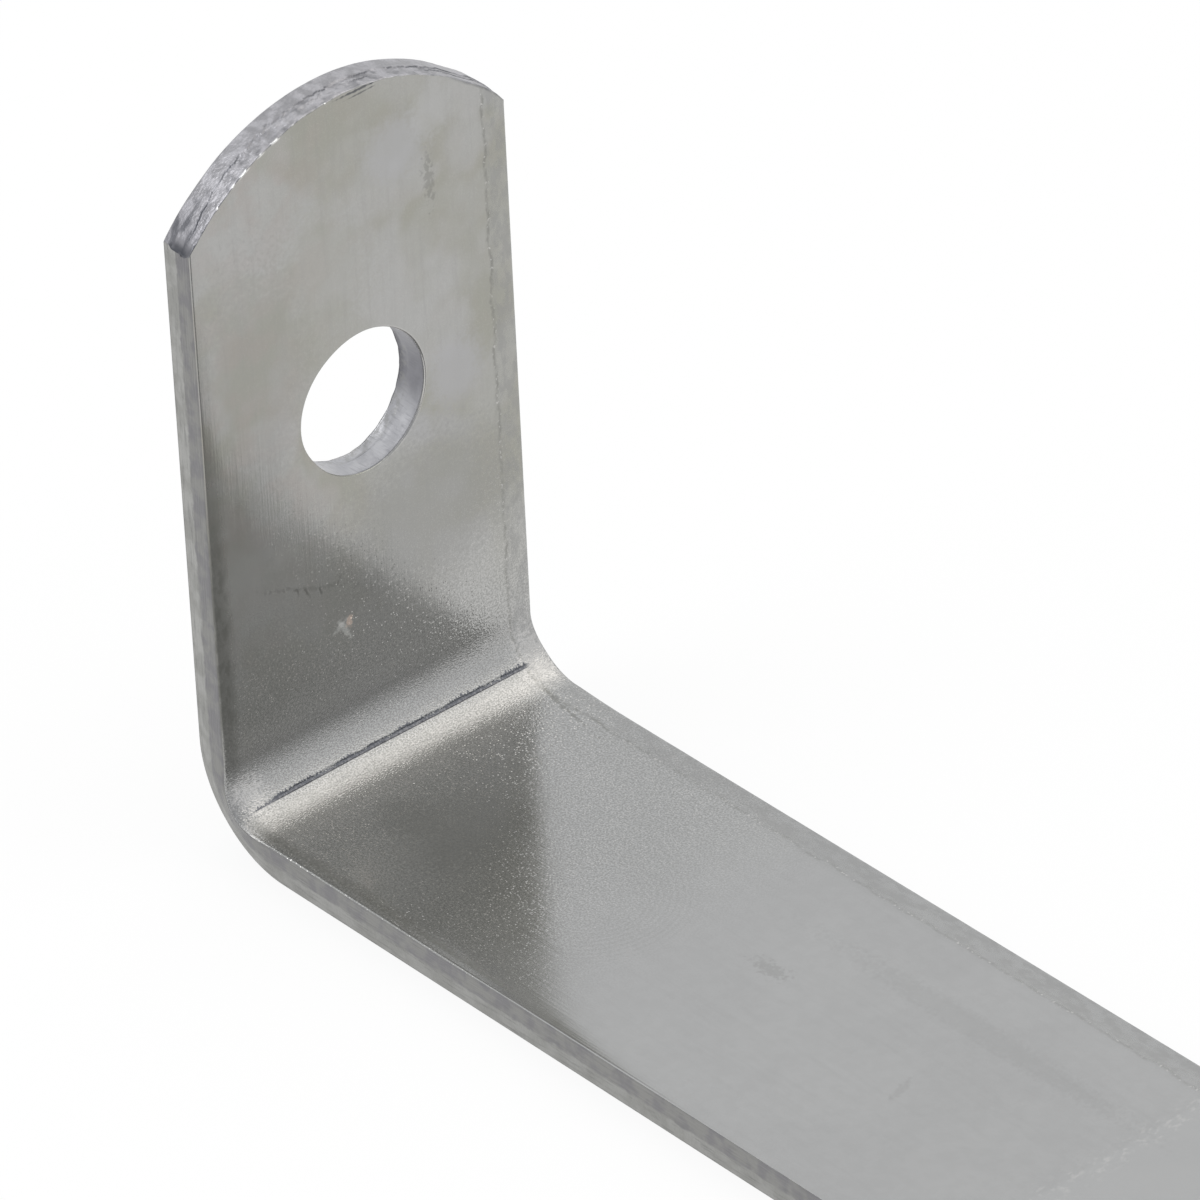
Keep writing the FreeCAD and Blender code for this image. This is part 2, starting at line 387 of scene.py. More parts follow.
# %% [markdown]
# ## Where the lines of the grid go
# The surface is a set of grids that share their borders. Lines are close together where the
# shape turns quickly, at the slit edges, in the fold and at the tip, and far apart on the
# plain leg. Where a fine grid meets a coarse one, a row of faces with more corners takes up
# the extra points, so the skin stays closed.


# %% Lines across the strip
def even_lines(start, finish, spacing):
    """Evenly spaced values from start to finish, with the last one left out."""
    count = max(1, round(abs(finish - start) / spacing))
    return np.linspace(start, finish, count, endpoint=False)


def halved(lines, width_over):
    """The lines with one more between any two that are further apart than width_over."""
    middles = (lines[1:] + lines[:-1]) / 2
    return np.sort(np.concatenate([lines, middles[np.diff(lines) > width_over]]))


FROM_SLIT = [
    0.0, 0.05, 0.10, 0.20, 0.32, 0.46, 0.62, 0.80, 0.98, 1.16, 1.34, 1.50, 1.62, 1.74, 1.90, 2.2,
]
BLOCK = 7.4                        # half the square round the hole
edge_lines = HALF - np.array(FROM_SLIT[::-1])
inner_lines = np.concatenate([
    even_lines(-edge_lines[0], -BLOCK, 0.42),
    even_lines(-BLOCK, BLOCK, 0.40),
    even_lines(BLOCK, edge_lines[0], 0.42),
])
across = np.concatenate([-edge_lines[::-1], inner_lines[1:], edge_lines])
across_fold = halved(across, 0.25)
across_tip = halved(across_fold, 0.15)

# %% Lines along and through it
BLOCK_LOW = HOLE_S - BLOCK
BLOCK_HIGH = HOLE_S + BLOCK
FOLD_FINE = 6.0
STRETCHES = [                      # where each stretch ends, and the gap between its lines
    (-62.0, 2.0), (-20.0, 0.8), (-FOLD_FINE, 0.45), (-1.2, 0.17), (0.4, 0.055),
    (FOLD_FINE, 0.17), (BLOCK_LOW, 0.42), (BLOCK_HIGH, 0.40),
]
starts = [END_S + 1.4] + [finish for finish, _ in STRETCHES]
along = np.concatenate(
    [even_lines(start, finish, gap) for start, (finish, gap) in zip(starts, STRETCHES)]
    + [[BLOCK_HIGH]]
)
FROM_END = np.array([1.0, 0.7, 0.48, 0.32, 0.2, 0.11, 0.05, 0.0])
through = np.array(
    [0, 0.02, 0.04, 0.09, 0.16, 0.24, 0.33, 0.42, 0.5, 0.58, 0.67, 0.76, 0.85, 0.92, 0.96, 0.98, 1]
)
through_tip = halved(halved(through, 0.055), 0.03)
print(len(across), "lines across,", len(across_fold), "in the fold,", len(across_tip), "at the tip")
print(len(along), "lines along,", len(through), "through,", len(through_tip), "at the tip")


# %% Rows of addresses from end to end
def rows_of(y, n):
    """The s of every row for each y and n given: rows that gather towards the square end,
    the even ones, and rows that gather towards the tip."""
    y, n = np.broadcast_arrays(np.asarray(y, float), np.asarray(n, float))
    column = (slice(None),) + (None,) * y.ndim
    far = end_s(y, n) + FROM_END[::-1][column]
    even = np.broadcast_to(along[column], (len(along),) + y.shape)
    last = tip_s(y, n) - FROM_END[column]
    share = np.linspace(0, 1, 24)[1:-1][column]
    between = along[-1] + (last[:1] - along[-1]) * share
    return np.concatenate([far, even, between, last])


def row_number(s):
    """The number of the even row that lies at s, counted from the square end."""
    return len(FROM_END) + int(np.argmin(np.abs(along - s)))


def tip_lift(s, y, n):
    """The burr: a lip on the inside face that rises over the last third of a millimetre."""
    gap = tip_s(y, 1.0) - s
    return BURR * burr_share(y) * np.clip(1 - gap / 0.32, 0, 1) ** 2 * n**8


LAST_ROW = len(rows_of(0.0, 0.0)) - 1
print(LAST_ROW + 1, "rows")

# %% [markdown]
# ## The skin, grid by grid
# Each grid is a block of addresses. A small class keeps the blocks, turns them into places
# and remembers the addresses, because the finishes need them too. The shared borders come
# out twice, at the very same places, and are joined at the end.

# %% A store for the grids
FINISHES = ["rolled_face", "slit_edge", "sheared_end", "punched_wall"]


class Skin:
    """Addresses, places and faces of all grids so far. Each list of faces holds faces with
    the same number of corners, and the finish that they wear."""

    def __init__(self):
        self.places = []
        self.addresses = []
        self.faces = []
        self.count = 0

    def points(self, s, y, n, lift=0.0):
        """Stores a block of addresses. Gives the numbers of its vertices, in its shape."""
        s, y, n, lift = np.broadcast_arrays(*(np.asarray(part, float) for part in (s, y, n, lift)))
        self.places.append(strip_point(s, y, n, lift).reshape(-1, 3))
        self.addresses.append(np.stack([s, y, n * THICKNESS], axis=-1).reshape(-1, 3))
        numbers = np.arange(s.size).reshape(s.shape) + self.count
        self.count += s.size
        return numbers

    def grid(self, s, y, n, finish, lift=0.0, flip=False, closed=False):
        """Four-sided faces over a block. closed joins its last column to its first."""
        numbers = self.points(s, y, n, lift)
        if closed:
            numbers = np.concatenate([numbers, numbers[:, :1]], axis=1)
        corners = [numbers[:-1, :-1], numbers[1:, :-1], numbers[1:, 1:], numbers[:-1, 1:]]
        self.store(corners, finish, flip)

    def bridge(self, fine, coarse, finish, flip=False):
        """Faces between a fine row of addresses and a coarse one. Each is (lines, s, y, n,
        lift), and every coarse line goes on as one of the fine lines."""
        fine_lines, coarse_lines = fine[0], coarse[0]
        matches = np.searchsorted(fine_lines, coarse_lines - 1e-9)
        fine, coarse = self.points(*fine[1:]), self.points(*coarse[1:])
        steps = np.diff(matches)
        for step in np.unique(steps):
            cell = np.flatnonzero(steps == step)
            corners = [fine[matches[cell] + more] for more in range(step + 1)]
            self.store([coarse[cell]] + corners + [coarse[cell + 1]], finish, flip)

    def store(self, corners, finish, flip):
        corners = corners[::-1] if flip else corners
        faces = np.stack(corners, axis=-1).reshape(-1, len(corners))
        self.faces.append((faces, FINISHES.index(finish)))

    def totals(self):
        faces = sum(len(part) for part, _ in self.faces)
        triangles = sum(len(part) * (part.shape[1] - 2) for part, _ in self.faces)
        return "%d faces, %d as triangles" % (faces, triangles)


skin = Skin()


# %% The two broad faces
def face_block(first, last, columns, n, flip):
    """Part of a broad face, from row first to row last, over the given columns."""
    s = rows_of(columns, n)[first:last + 1]
    y = np.broadcast_to(columns, s.shape)
    skin.grid(s, y, n, "rolled_face", tip_lift(s, y, n), flip)


def face_row(row, columns, n):
    """One row of a broad face, as bridge takes it."""
    s = rows_of(columns, n)[row]
    return columns, s, columns, n, tip_lift(s, columns, n)


def edge_row(row, side, layers):
    """One row of a slit edge, as bridge takes it."""
    s = rows_of(side * HALF, layers)[row]
    return layers, s, side * HALF, layers, tip_lift(s, side * HALF, layers)


leg_side, upstand_side = row_number(-FOLD_FINE), row_number(FOLD_FINE)
block_first, block_last = row_number(BLOCK_LOW), row_number(BLOCK_HIGH)
left_part = across[across <= -BLOCK + 1e-6]
right_part = across[across >= BLOCK - 1e-6]

for n, flip in ((0.0, False), (1.0, True)):
    face_block(block_first, block_last, left_part, n, flip)
    face_block(block_first, block_last, right_part, n, flip)
    face_block(block_last, LAST_ROW - 1, across, n, flip)
    last_row, row_before = face_row(LAST_ROW, across_tip, n), face_row(LAST_ROW - 1, across, n)
    skin.bridge(last_row, row_before, "rolled_face", flip)
face_block(0, block_first, across, 0.0, False)
face_block(0, leg_side - 1, across, 1.0, True)
face_block(leg_side, upstand_side, across_fold, 1.0, True)
for fine_row, coarse_row, flip in ((leg_side, leg_side - 1, True), (upstand_side, upstand_side + 1, False)):
    fine, coarse = face_row(fine_row, across_fold, 1.0), face_row(coarse_row, across, 1.0)
    skin.bridge(fine, coarse, "rolled_face", flip)
face_block(upstand_side + 1, block_first, across, 1.0, True)
print("both faces:", skin.totals())

# %% The two slit edges
for side, flip in ((1.0, False), (-1.0, True)):
    s = rows_of(side * HALF, through)[:-1]
    n = np.broadcast_to(through, s.shape)
    skin.grid(s, side * HALF, n, "slit_edge", tip_lift(s, side * HALF, n), flip)
    last_row, row_before = edge_row(LAST_ROW, side, through_tip), edge_row(LAST_ROW - 1, side, through)
    skin.bridge(last_row, row_before, "slit_edge", flip)

# %% The cropped tip and the square end
y, n = np.meshgrid(across_tip, through_tip, indexing="ij")
skin.grid(tip_s(y, n), y, n, "sheared_end", tip_lift(tip_s(y, n), y, n), flip=True)
y, n = np.meshgrid(across, through, indexing="ij")
skin.grid(end_s(y, n), y, n, "sheared_end", flip=False)
print("with edges and ends:", skin.totals())

# %% [markdown]
# ## The punched hole
# A square grid can't hold a round hole, so the square round it is filled with rings that
# turn from the square's outline into the hole's rim. The punch came from the inside face: it
# pulled that rim down a little, cut a smooth wall, and broke through near the outside face.

# %% The square's outline
block_columns = across[np.abs(across) <= BLOCK + 1e-6]
block_rows = along[(along >= BLOCK_LOW - 1e-6) & (along <= BLOCK_HIGH + 1e-6)]
column_run, row_run = len(block_columns) - 1, len(block_rows) - 1
outline_y = np.concatenate([
    block_columns[:-1],
    np.full(row_run, block_columns[-1]),
    block_columns[:0:-1],
    np.full(row_run, block_columns[0]),
])
outline_s = np.concatenate([
    np.full(column_run, block_rows[0]),
    block_rows[:-1],
    np.full(column_run, block_rows[-1]),
    block_rows[:0:-1],
])
angle = np.arctan2(outline_s - HOLE_S, outline_y)
print(len(angle), "points round the hole")

# %% Rings and wall
HOLE_LIP = 0.10
RIM_WIDTH = 0.9
RIM_STEPS = (0.75, 0.6, 0.45, 0.34, 0.26, 0.2, 0.16, 0.11, 0.07, 0.03, 0.01, 0.0)


def bulge(angle, middle, reach):
    """A bell curve round the hole: 1 at the angle middle, fading over reach, in degrees."""
    turn = (np.degrees(angle) - middle + 180) % 360 - 180
    return np.exp(-((turn / reach) ** 2))


def wall_radius(angle, n):
    """The hole's radius at each layer. The worn punch leaves the left side and most of all
    the lower left standing in. The wall is straight where it was cut, and rough and uneven
    where it broke, below about two fifths of the thickness. A tooth is left at one place."""
    pinch = 0.17 * smooth_step(-np.cos(angle), -0.3, 0.6) + 0.14 * bulge(angle, 215.0, 20.0)
    crack = 0.36 + 0.07 * noise(angle * 2.0, 0.5, 41) + 0.05 * noise(angle * 6.0, 1.5, 42)
    broken = 1 - smooth_step(n, crack - 0.02, crack + 0.02)
    rough = 0.025 * noise(angle * 9.0, n * 7.0, 43) + 0.02 * noise(angle * 23.0, n * 9.0, 44)
    uneven = 0.10 * bulge(angle, 288.0, 26.0) - 0.10 * bulge(angle, 181.0, 6.0)
    return HOLE_RADIUS - pinch + broken * (0.03 + rough + uneven)


def ring(radius, share):
    """Addresses between the square's outline (share 0) and a circle (share 1)."""
    circle_y = radius * np.cos(angle)
    circle_s = HOLE_S + radius * np.sin(angle)
    return outline_s + (circle_s - outline_s) * share, outline_y + (circle_y - outline_y) * share


def lip_drop(gap):
    """How far the face is pulled down at this gap from the rim: a long soft dish, then a
    small round."""
    run = np.clip(HOLE_LIP - gap, 0, HOLE_LIP)
    rounding = HOLE_LIP - np.sqrt(HOLE_LIP**2 - run**2)
    return rounding + 0.04 * np.clip(1 - gap / 1.5, 0, 1) ** 2


for n, flip in ((0.0, False), (1.0, True)):
    rim = wall_radius(angle, n)
    rings = [ring(HOLE_RADIUS + RIM_WIDTH, share) for share in np.linspace(0, 1, 10) ** 0.8]
    rings += [ring(rim + step, 1.0) for step in RIM_STEPS]
    s = np.stack([one[0] for one in rings])
    y = np.stack([one[1] for one in rings])
    gap = np.maximum(np.hypot(s - HOLE_S, y) - rim, 0)
    skin.grid(s, y, n, "rolled_face", -lip_drop(gap) * n, flip, closed=True)

layer, wall_angle = np.meshgrid(np.linspace(0, 1, 19), angle, indexing="ij")
radius = wall_radius(wall_angle, layer)
skin.grid(
    HOLE_S + radius * np.sin(wall_angle), radius * np.cos(wall_angle), layer, "punched_wall",
    -layer * lip_drop(0.0), flip=True, closed=True,
)
print("in all:", skin.totals())

# %% [markdown]
# ## One mesh
# The grids are joined where their borders meet: two points are the same one if they agree
# to a hundredth of a micrometre. Each vertex keeps its address as an attribute, so that a
# finish can ask where on the flat strip it is. A UV map could hold two of the numbers, but
# the address has three.


# %% Weld the grids
def make_mesh(name, skin):
    """One mesh from all grids of a skin, in metres, with points at the same place joined.
    Gives the object and the addresses of its vertices."""
    places = np.concatenate(skin.places)
    keys = np.round(places * 1e5).astype(np.int64)
    _, first, inverse = np.unique(keys, axis=0, return_index=True, return_inverse=True)
    loops = inverse.reshape(-1)[np.concatenate([faces.ravel() for faces, _ in skin.faces])]
    sizes = np.concatenate([np.full(len(faces), faces.shape[1]) for faces, _ in skin.faces])
    finishes = np.concatenate([np.full(len(faces), finish) for faces, finish in skin.faces])

    mesh = bpy.data.meshes.new(name)
    mesh.vertices.add(len(first))
    mesh.vertices.foreach_set("co", (places[first] * MM).ravel())
    mesh.loops.add(len(loops))
    mesh.loops.foreach_set("vertex_index", loops)
    mesh.polygons.add(len(sizes))
    mesh.polygons.foreach_set("loop_start", np.cumsum(sizes) - sizes)
    mesh.polygons.foreach_set("loop_total", sizes)
    mesh.polygons.foreach_set("material_index", finishes)
    mesh.polygons.foreach_set("use_smooth", np.ones(len(sizes), bool))
    mesh.update(calc_edges=True)
    piece = bpy.data.objects.new(name, mesh)
    scene.collection.objects.link(piece)
    return piece, np.concatenate(skin.addresses)[first]


def report_mesh(mesh):
    """Prints whether the mesh is closed, and the volume that its faces enclose."""
    loop_edges = np.zeros(len(mesh.loops), int)
    mesh.loops.foreach_get("edge_index", loop_edges)
    uses = np.bincount(loop_edges, minlength=len(mesh.edges))
    mesh.calc_loop_triangles()
    corners = np.zeros(len(mesh.loop_triangles) * 3, int)
    mesh.loop_triangles.foreach_get("vertices", corners)
    points = np.zeros(len(mesh.vertices) * 3)
    mesh.vertices.foreach_get("co", points)
    a, b, c = points.reshape(-1, 3)[corners.reshape(-1, 3)].transpose(1, 0, 2) / MM
    volume = np.einsum("ij,ij->", a, np.cross(b, c)) / 6
    print(mesh.name, len(mesh.loop_triangles), "triangles,", int((uses != 2).sum()), "open edges")
    print("volume", round(float(volume)), "mm3")


cramp, addresses = make_mesh("folded_strip", skin)
report_mesh(cramp.data)

# %% Keep each vertex's address
flat_place = cramp.data.attributes.new("flat_place", "FLOAT_VECTOR", "POINT")
flat_place.data.foreach_set("vector", addresses.ravel())

# %% [markdown]
# ## Painted shade and dirt in the cracks, and a painted highlight on the burr
# Cracks, pits and the crushed corner are painted darker than the metal round them: painted
# shade in the recesses, with some dirt and rolling oil in them. The burr is painted bright: a
# painted highlight. The same functions that shaped them say how dark or bright each vertex
# is. A texture could do it, but it would have to be lined up with the shape by hand.


# %% How dark or bright each vertex is
def tip_shade_and_dirt(s, y, n):
    """Painted shade and dirt: 1 on the ledges and in the pits of the tip's break and in its
    corner nick, and partly along the right shoulder's arris, 0 elsewhere."""
    crack = crack_line(y)
    first = np.exp(-(((n - crack) / 0.030) ** 2)) * np.clip(0.75 + 0.8 * noise(y * 1.6, 0.5, 51), 0, 1)
    second = np.exp(-(((n - second_crack(y)) / 0.022) ** 2)) * np.clip(2 * noise(y / 1.7, 0.5, 40), 0, 1)
    pits = 0.4 * smooth_step(noise(y * 3.3, n * 8.0, 53), 0.40, 0.80) * (n > crack)
    mottled = smooth_step(noise(y * 3.0, n * 7.0, 55), -0.1, 0.5) * smooth_step(-y, 8.6, 11.4)
    nick = corner_nick(y, n) * (0.95 + 0.35 * noise(y * 8.0, n * 6.0, 56))
    cut = np.max([first, second, pits, 0.7 * mottled, nick], axis=0) * (s > tip_s(y, n) - 0.02)
    near_arris = np.clip(1.2 - (tip_s(y, n) - s) / 0.16, 0, 1) * (n > 0.9)
    arris = near_arris * smooth_step(y, 7.6, 9.4) * (0.5 + 0.5 * noise(y * 4.0, 0.5, 57))
    return np.clip(np.maximum(cut, 0.7 * arris), 0, 1)


def burr_shine(s, y, n):
    """Painted highlight: 1 on the strongest parts of the burr, 0 elsewhere."""
    near_arris = smooth_step(tip_s(y, n) - s, 0.15, 0.05) * smooth_step(n, 0.95, 0.98)
    return near_arris * smooth_step(burr_share(y), 0.25, 0.60)


def keep_number(mesh, name, values):
    """Stores one number for each vertex as an attribute."""
    mesh.attributes.new(name, "FLOAT", "POINT").data.foreach_set("value", values)
    print(name, "is over a third at", int((values > 0.33).sum()), "vertices")


s, y, n = addresses[:, 0], addresses[:, 1], addresses[:, 2] / THICKNESS
keep_number(cramp.data, "shade_and_dirt", tip_shade_and_dirt(s, y, n))
keep_number(cramp.data, "shine", burr_shine(s, y, n))

# %% [markdown]
# ## Building materials
# A material is a tree of nodes. A few small helpers add nodes, so that each finish below
# reads as a list of steps. Effects that come up more than once are groups, built once and
# placed with their own values.


# %% Helpers for nodes
def add(tree, kind, inputs=None, **settings):
    """Adds a node. inputs gives its inputs, by name or number, a value or another output."""
    made = tree.nodes.new("ShaderNode" + kind)
    for name, value in settings.items():
        setattr(made, name, value)
    for name, value in (inputs or {}).items():
        if isinstance(value, bpy.types.NodeSocket):
            tree.links.new(value, made.inputs[name])
        else:
            made.inputs[name].default_value = value
    return made


def calc(tree, operation, first, second=0.0, clamp=False):
    """One step of arithmetic on numbers."""
    return add(tree, "Math", {0: first, 1: second}, operation=operation, use_clamp=clamp).outputs[0]


def times(tree, *factors):
    """The product of two or more numbers."""
    product = factors[0]
    for factor in factors[1:]:
        product = calc(tree, "MULTIPLY", product, factor)
    return product


def plus(tree, first, second, clamp=False):
    """The sum of two numbers, kept between 0 and 1 if clamp is set."""
    return calc(tree, "ADD", first, second, clamp)


def minus(tree, first, second):
    """The first number less the second."""
    return calc(tree, "SUBTRACT", first, second)


def span(tree, value, start, finish, low=0.0, high=1.0):
    """A smooth change from low to high while value goes from start to finish."""
    inputs = {"Value": value, "From Min": start, "From Max": finish, "To Min": low, "To Max": high}
    return add(tree, "MapRange", inputs, interpolation_type="SMOOTHSTEP").outputs["Result"]


def blend(tree, share, first, second):
    """The colour first where share is 0, and second where it is 1."""
    made = add(tree, "Mix", {"Factor": share}, data_type="RGBA")
    for socket, value in ((made.inputs[6], first), (made.inputs[7], second)):
        if isinstance(value, bpy.types.NodeSocket):
            tree.links.new(value, socket)
        else:
            socket.default_value = (*value, 1.0)
    return made.outputs[2]


def spots(tree, place, stretch, scale, detail=2.0, rough=0.5):
    """A flat noise texture over the first two numbers of an address, stretched first."""
    stretched = add(tree, "VectorMath", {0: place, 1: (*stretch, 0.0)}, operation="MULTIPLY").outputs[0]
    inputs = {"Vector": stretched, "Scale": scale, "Detail": detail, "Roughness": rough}
    return add(tree, "TexNoise", inputs, noise_dimensions="2D").outputs["Fac"]


def new_group(name, inputs, outputs):
    """An empty node group. inputs gives (name, kind, value) and outputs (name, kind)."""
    tree = bpy.data.node_groups.new(name, "ShaderNodeTree")
    for label, kind, value in inputs:
        socket = tree.interface.new_socket(label, in_out="INPUT", socket_type="NodeSocket" + kind)
        if value is not None:
            socket.default_value = value
    for label, kind in outputs:
        tree.interface.new_socket(label, in_out="OUTPUT", socket_type="NodeSocket" + kind)
    return tree, tree.nodes.new("NodeGroupInput").outputs, tree.nodes.new("NodeGroupOutput").inputs


def use_group(tree, group, inputs):
    """Places a group in a tree, with its own values. Gives its outputs."""
    made = tree.nodes.new("ShaderNodeGroup")
    made.node_tree = group
    for name, value in inputs.items():
        if isinstance(value, bpy.types.NodeSocket):
            tree.links.new(value, made.inputs[name])
        else:
            made.inputs[name].default_value = value
    return made.outputs


# %% [markdown]
# ## Groups for metal
# Rolled strip has three things that repeat at every scale: soft stains a few millimetres
# wide, fine lines along the rolling direction, and a grain that rises where the metal has
# been squeezed or stretched, with facets that glint. Each is a group that puts out a mask or
# a height, and the grain also says how bright a facet is and which way it leans.

# %% Soft stains
stain_group, given, result = new_group(
    "soft_stain",
    [("Place", "Vector", None), ("Size", "Float", 6.0), ("Shift", "Float", 0.0)],
    [("Mask", "Float")],
)
tree = stain_group
shift = add(tree, "CombineXYZ", {0: given["Shift"], 1: given["Shift"]}).outputs[0]
moved = add(tree, "VectorMath", {0: given["Place"], 1: shift}, operation="ADD").outputs[0]
scale = calc(tree, "DIVIDE", 1.0, given["Size"])
cloud = spots(tree, moved, (1.0, 1.0), scale, 3.0, 0.55)
tree.links.new(span(tree, cloud, 0.36, 0.64), result["Mask"])

# %% Rolling lines
lines_group, given, result = new_group(
    "rolling_lines",
    [("Place", "Vector", None), ("Spacing", "Float", 0.25), ("Length", "Float", 12.0)],
    [("Height", "Float")],
)
tree = lines_group
parts = add(tree, "SeparateXYZ", {0: given["Place"]}).outputs
run = calc(tree, "DIVIDE", parts[0], given["Length"])
step = calc(tree, "DIVIDE", parts[1], given["Spacing"])
stretched = add(tree, "CombineXYZ", {0: run, 1: step}).outputs[0]
tree.links.new(spots(tree, stretched, (1.0, 1.0), 1.0, 2.0, 0.6), result["Height"])

# %% Grain of squeezed metal
grain_group, given, result = new_group(
    "squeezed_grain",
    [("Place", "Vector", None), ("Size", "Float", 0.15)],
    [("Height", "Float"), ("Sparkle", "Float"), ("Tilt", "Vector")],
)
tree = grain_group
scale = calc(tree, "DIVIDE", 1.0, given["Size"])
tree.links.new(spots(tree, given["Place"], (1.0, 1.0), scale, 1.0), result["Height"])
cells = add(tree, "TexVoronoi", {"Vector": given["Place"], "Scale": scale}, voronoi_dimensions="2D").outputs
chosen = add(tree, "SeparateColor", {0: cells["Color"]}).outputs[0]
glint = times(tree, span(tree, chosen, 0.45, 0.95), span(tree, cells["Distance"], 0.42, 0.25))
tree.links.new(glint, result["Sparkle"])
tilt = add(tree, "VectorMath", {0: cells["Color"], 1: (0.5, 0.5, 0.5)}, operation="SUBTRACT").outputs[0]
tree.links.new(tilt, result["Tilt"])

# %% One smudge or scratch
smudge_group, given, result = new_group(
    "one_smudge",
    [("Place", "Vector", None), ("Along", "Float", 0.0), ("Across", "Float", 0.0),
     ("Length", "Float", 1.0), ("Width", "Float", 1.0), ("Turn", "Float", 0.0),
     ("Tear", "Float", 0.5), ("Ragged", "Float", 0.3)],
    [("Mask", "Float")],
)
tree = smudge_group
centre = add(tree, "CombineXYZ", {0: given["Along"], 1: given["Across"]}).outputs[0]
moved = add(tree, "VectorMath", {0: given["Place"], 1: centre}, operation="SUBTRACT").outputs[0]
flat = add(tree, "VectorMath", {0: moved, 1: (1.0, 1.0, 0.0)}, operation="MULTIPLY").outputs[0]
angle_in = {"Vector": flat, "Angle": given["Turn"]}
turned = add(tree, "VectorRotate", angle_in, rotation_type="Z_AXIS").outputs[0]
sizes = add(tree, "CombineXYZ", {0: given["Length"], 1: given["Width"], 2: 1.0}).outputs[0]
shrunk = add(tree, "VectorMath", {0: turned, 1: sizes}, operation="DIVIDE").outputs[0]
reach = add(tree, "VectorMath", {0: shrunk}, operation="LENGTH").outputs["Value"]
tear = times(tree, minus(tree, given["Tear"], 0.5), given["Ragged"])
reach = plus(tree, reach, times(tree, tear, 4.0))
tree.links.new(span(tree, reach, 1.0, 0.35), result["Mask"])

print("groups:", [group.name for group in bpy.data.node_groups])


def stain(tree, place, size, shift=0.0):
    """Soft stains about size millimetres wide, from 0 to 1. shift gives other ones."""
    return use_group(tree, stain_group, {"Place": place, "Size": size, "Shift": shift})["Mask"]


def fine_lines(tree, place, spacing, length):
    """The height of fine lines along the first number of an address."""
    inputs = {"Place": place, "Spacing": spacing, "Length": length}
    return use_group(tree, lines_group, inputs)["Height"]


# %% [markdown]
# ## The rolled faces
# Both broad faces have the skin of the coil: dull grey stainless with faint stains, fine
# rolling lines, a squeezed grain round the fold, and the marks of handling. The colours are
# what the metal reflects in a white room. The fold's band is brighter, partly because the
# punch polished it and partly as a painted highlight, and the skin beside it is paler.
# Painted shade and painted glints are in the colour too: in the grain, along the left edge,
# in the punch's line and round the hole's rim. A painted picture could carry all this, but
# masks built from the address stay sharp at any distance and can be changed one by one.

# %% Colours of the metal
STEEL_COOL = (0.430, 0.430, 0.426)
STEEL_WARM = (0.350, 0.348, 0.309)
STEEL_PINK = (0.385, 0.345, 0.322)
STEEL_LIGHT = (0.448, 0.449, 0.445)
STEEL_BLUE = (0.416, 0.417, 0.428)
STEEL_PALE = (0.500, 0.500, 0.487)
STEEL_DARK = (0.285, 0.285, 0.275)
EDGE_GREY = (0.290, 0.291, 0.290)
CREASE = (0.200, 0.200, 0.185)
# pale of polish, and of painted highlights and glints
POLISH_AND_SHEEN = (0.66, 0.645, 0.63)
CHIPPED = (0.95, 0.78, 0.68)
SCRAPED = (0.60, 0.59, 0.57)
# white of a chip, and of the burr's painted highlight
WHITE_CHIP_AND_HIGHLIGHT = (0.97, 0.97, 0.95)
# painted shade in the punch's groove
GROOVE_SHADE_BLUE = (0.100, 0.106, 0.124)
MARK_PALE = (0.165, 0.168, 0.185)
# dirt, and painted shade in the tip's cracks
GRIME_AND_SHADE = (0.070, 0.074, 0.086)


def new_metal(name):
    """A material with a metallic Principled shader, the address and its three numbers."""
    material = bpy.data.materials.new(name)
    material.use_nodes = True
    tree = material.node_tree
    shader = tree.nodes["Principled BSDF"]
    shader.inputs["Metallic"].default_value = 1.0
    place = add(tree, "Attribute", attribute_name="flat_place").outputs["Vector"]
    return tree, shader, place, add(tree, "SeparateXYZ", {0: place}).outputs


def shade_dirt_and_shine(tree, colour):
    """The colour under the painted shade and dirt of the cracks, and under the burr's painted highlight,
    that the vertices keep.
    """
    shade_and_dirt = add(tree, "Attribute", attribute_name="shade_and_dirt").outputs["Fac"]
    shine = add(tree, "Attribute", attribute_name="shine").outputs["Fac"]
    colour = blend(tree, calc(tree, "MULTIPLY", shade_and_dirt, 0.9, clamp=True), colour, GRIME_AND_SHADE)
    return blend(tree, shine, colour, WHITE_CHIP_AND_HIGHLIGHT)


def bumped(tree, relief, height):
    """The normal over a relief from 0 to 1 that stands this high, in millimetres."""
    inputs = {"Height": relief, "Strength": 1.0, "Distance": height * MM}
    return add(tree, "Bump", inputs).outputs["Normal"]


def finish_metal(tree, shader, colour, rough, normal):
    """Links what the finish has worked out to its shader."""
    tree.links.new(colour, shader.inputs["Base Color"])
    tree.links.new(rough, shader.inputs["Roughness"])
    tree.links.new(normal, shader.inputs["Normal"])


# %% Stains of the rolled faces
tree, shader, place, parts = new_metal("rolled_face")
s_value, y_value = parts[0], parts[1]
inside_face = span(tree, parts[2], 0.5 * THICKNESS, 0.9 * THICKNESS)
on_upstand = span(tree, s_value, 2.0, 12.0)
warm_cloud = stain(tree, place, 9.0, 3.0)
warmth = times(tree, on_upstand, span(tree, warm_cloud, 0.0, 0.7, 0.35, 1.0))
colour = blend(tree, warmth, STEEL_COOL, STEEL_WARM)
pink_cloud = stain(tree, place, 2.6, 41.0)
pink_share = times(tree, span(tree, y_value, 2.0, -9.0, 0.10, 0.50), on_upstand)
colour = blend(tree, times(tree, pink_cloud, pink_share), colour, STEEL_PINK)
light_cloud = stain(tree, place, 7.0, 77.0)
colour = blend(tree, times(tree, light_cloud, 0.45), colour, STEEL_LIGHT)
small_cloud = stain(tree, place, 1.1, 15.0)
colour = blend(tree, times(tree, small_cloud, 0.06), colour, STEEL_DARK)
